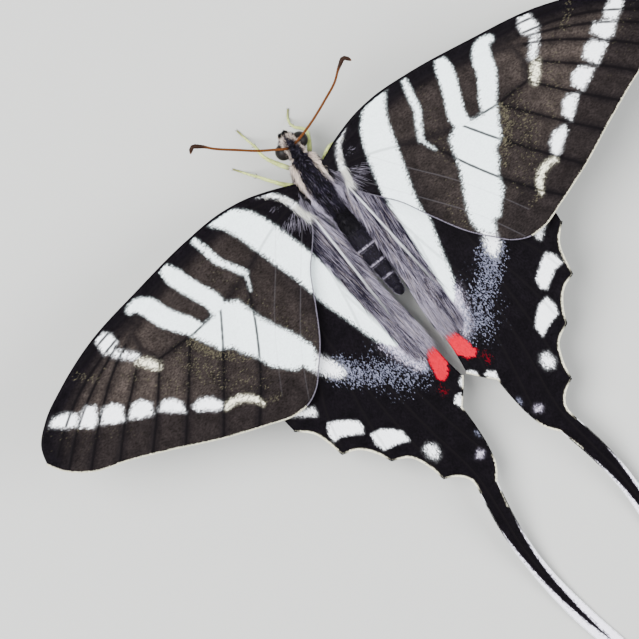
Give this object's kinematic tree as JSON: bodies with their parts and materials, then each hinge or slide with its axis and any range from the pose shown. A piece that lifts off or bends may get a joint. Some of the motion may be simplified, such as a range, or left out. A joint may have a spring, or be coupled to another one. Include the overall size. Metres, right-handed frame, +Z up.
{
  "type": "zebra swallowtail butterfly",
  "caption": "Life-size still model of a zebra swallowtail butterfly on its feet, with striped wings spread flat and long black tails laid on the floor.",
  "frame": {"origin": "middle of the bounding box, on the floor that the feet and the tail ends stand on", "axes": "+X to the butterfly's right, along its wing span, +Y the way its head points, +Z up"},
  "size_m": [0.0812, 0.074, 0.0119],
  "materials": {
    "wing_scales": "matt black and pale scales on a thin membrane",
    "body_fur": "matt black, cream and lilac-grey hair and scales",
    "eye": "dark compound eye with a low gloss",
    "antenna": "rust brown rings, dark maroon club",
    "leg": "pale greenish cream scales, darker feet",
    "proboscis": "ringed dark brown horn"
  },
  "bodies": {
    "root": {"abdomen": "body_fur", "antenna_left": "antenna", "antenna_right": "antenna", "eye_left": "eye", "eye_right": "eye", "forewing_left": "wing_scales", "forewing_right": "wing_scales", "head": "body_fur", "hindwing_left": "wing_scales", "hindwing_right": "wing_scales", "leg_front_left": "leg", "leg_front_right": "leg", "leg_hind_left": "leg", "leg_hind_right": "leg", "leg_mid_left": "leg", "leg_mid_right": "leg", "palp_left": "body_fur", "palp_right": "body_fur", "proboscis": "proboscis", "thorax": "body_fur"}
  },
  "joints": []
}
